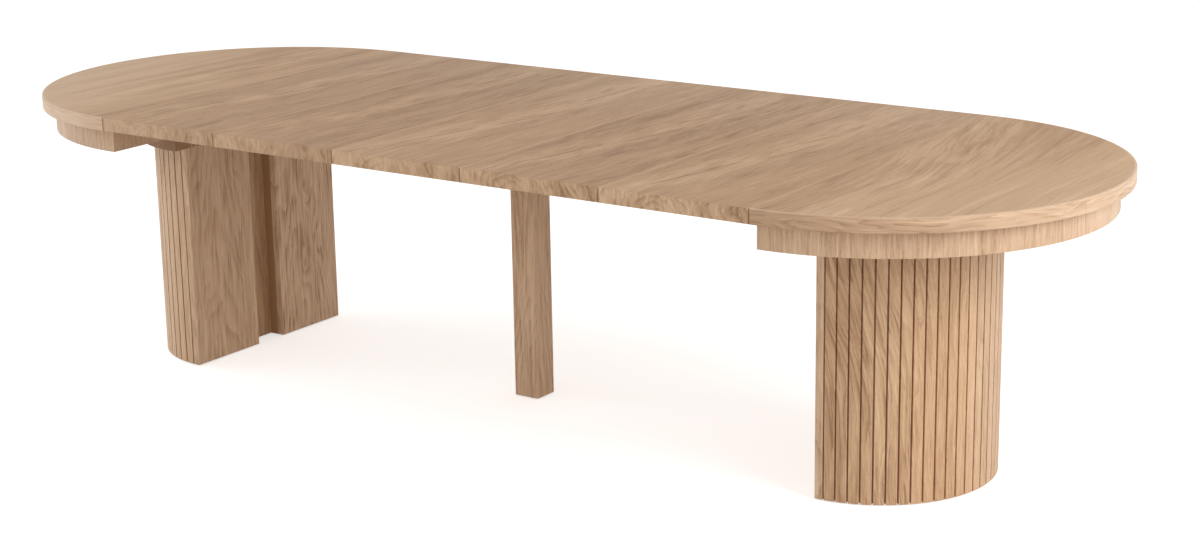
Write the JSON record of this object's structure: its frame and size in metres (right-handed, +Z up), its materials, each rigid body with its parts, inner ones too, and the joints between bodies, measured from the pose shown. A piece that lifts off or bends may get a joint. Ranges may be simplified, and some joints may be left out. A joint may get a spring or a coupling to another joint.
{
  "type": "extending dining table",
  "caption": "Long oak table with half-round ends on slatted half-drum pedestals, loose leaves between them, telescoping slides below and a square leg at the middle",
  "frame": {"origin": "on the floor under the middle of the extended table", "axes": "+X along the table, +Y away from the viewer of the picture, +Z up"},
  "size_m": [3.1998, 1.2, 0.77],
  "materials": {
    "top_wood": "satin oiled oak, grain across the table",
    "edge_wood": "satin oiled oak edge band, grain along the band",
    "apron_wood": "satin oiled oak veneer, upright grain",
    "slat_wood": "satin oiled oak slats, upright grain",
    "panel_wood": "satin oiled oak board, upright grain",
    "leg_wood": "satin oiled oak, upright grain",
    "slide_wood": "plain waxed beech",
    "carcase_wood": "plain unfinished plywood and softwood",
    "dowel_wood": "plain turned beech",
    "screw_steel": "zinc plated",
    "glide_nylon": "matte nylon"
  },
  "bodies": {
    "middle_frame": {"centre_leg": "leg_wood", "leg_glide": "glide_nylon", "leg_bearer": "slide_wood", "leg_screws": "screw_steel", "middle_rails": "slide_wood", "middle_stops": "slide_wood"},
    "left_end": {"left_top_panel": "top_wood", "left_edge_band": "edge_wood", "left_curved_apron": "apron_wood", "left_cross_rails": "panel_wood", "left_glue_blocks": "carcase_wood", "left_cap_plate": "carcase_wood", "left_rail_packers": "carcase_wood", "left_top_bearers": "carcase_wood", "left_end_rails": "slide_wood", "left_drum_slats": "slat_wood", "left_drum_backing": "carcase_wood", "left_front_face_panel": "panel_wood", "left_back_face_panel": "panel_wood", "left_recess_back": "panel_wood", "left_recess_sides": "panel_wood", "left_base_plate": "carcase_wood", "left_inner_ribs": "carcase_wood", "left_floor_glides": "glide_nylon", "left_fixing_screws": "screw_steel"},
    "left_stage": {"left_stage_rails": "slide_wood", "left_stage_stops": "slide_wood"},
    "right_end": {"right_top_panel": "top_wood", "right_edge_band": "edge_wood", "right_curved_apron": "apron_wood", "right_cross_rails": "panel_wood", "right_glue_blocks": "carcase_wood", "right_cap_plate": "carcase_wood", "right_rail_packers": "carcase_wood", "right_top_bearers": "carcase_wood", "right_end_rails": "slide_wood", "right_drum_slats": "slat_wood", "right_drum_backing": "carcase_wood", "right_front_face_panel": "panel_wood", "right_back_face_panel": "panel_wood", "right_recess_back": "panel_wood", "right_recess_sides": "panel_wood", "right_base_plate": "carcase_wood", "right_inner_ribs": "carcase_wood", "right_floor_glides": "glide_nylon", "right_fixing_screws": "screw_steel", "right_top_pins": "dowel_wood"},
    "right_stage": {"right_stage_rails": "slide_wood", "right_stage_stops": "slide_wood"},
    "leaf_1": {"leaf_1": "top_wood", "leaf_1_pins": "dowel_wood"},
    "leaf_2": {"leaf_2": "top_wood", "leaf_2_pins": "dowel_wood"},
    "leaf_3": {"leaf_3": "top_wood", "leaf_3_pins": "dowel_wood"},
    "leaf_4": {"leaf_4": "top_wood", "leaf_4_pins": "dowel_wood"},
    "leaf_5": {"leaf_5": "top_wood", "leaf_5_pins": "dowel_wood"}
  },
  "joints": [
    {"name": "left_end_slide", "type": "slide", "parent": "middle_frame", "child": "left_end", "axis": [1, 0, 0], "range_m": [0, 0.9597]},
    {"name": "right_end_slide", "type": "slide", "parent": "middle_frame", "child": "right_end", "axis": [-1, 0, 0], "range_m": [0, 1.0397]},
    {"name": "left_stage_slide", "type": "slide", "parent": "middle_frame", "child": "left_stage", "axis": [1, 0, 0], "range_m": [0, 0.72]},
    {"name": "right_stage_slide", "type": "slide", "parent": "middle_frame", "child": "right_stage", "axis": [-1, 0, 0], "range_m": [0, 0.78]},
    {"name": "leaf_1_lift", "type": "slide", "parent": "middle_frame", "child": "leaf_1", "axis": [0, 0, 1], "range_m": [0, 0.48]},
    {"name": "leaf_2_lift", "type": "slide", "parent": "middle_frame", "child": "leaf_2", "axis": [0, 0, 1], "range_m": [0, 0.48]},
    {"name": "leaf_3_lift", "type": "slide", "parent": "middle_frame", "child": "leaf_3", "axis": [0, 0, 1], "range_m": [0, 0.48]},
    {"name": "leaf_4_lift", "type": "slide", "parent": "middle_frame", "child": "leaf_4", "axis": [0, 0, 1], "range_m": [0, 0.48]},
    {"name": "leaf_5_lift", "type": "slide", "parent": "middle_frame", "child": "leaf_5", "axis": [0, 0, 1], "range_m": [0, 0.48]}
  ],
  "couplings": [
    {"joint": "right_end_slide", "follows": "left_end_slide", "ratio": 1.0833},
    {"joint": "left_stage_slide", "follows": "left_end_slide", "ratio": 0.75},
    {"joint": "right_stage_slide", "follows": "left_end_slide", "ratio": 0.81247},
    {"joint": "leaf_1_lift", "follows": "left_end_slide", "ratio": 0.5},
    {"joint": "leaf_2_lift", "follows": "left_end_slide", "ratio": 0.5},
    {"joint": "leaf_3_lift", "follows": "left_end_slide", "ratio": 0.5},
    {"joint": "leaf_4_lift", "follows": "left_end_slide", "ratio": 0.5},
    {"joint": "leaf_5_lift", "follows": "left_end_slide", "ratio": 0.5}
  ]
}
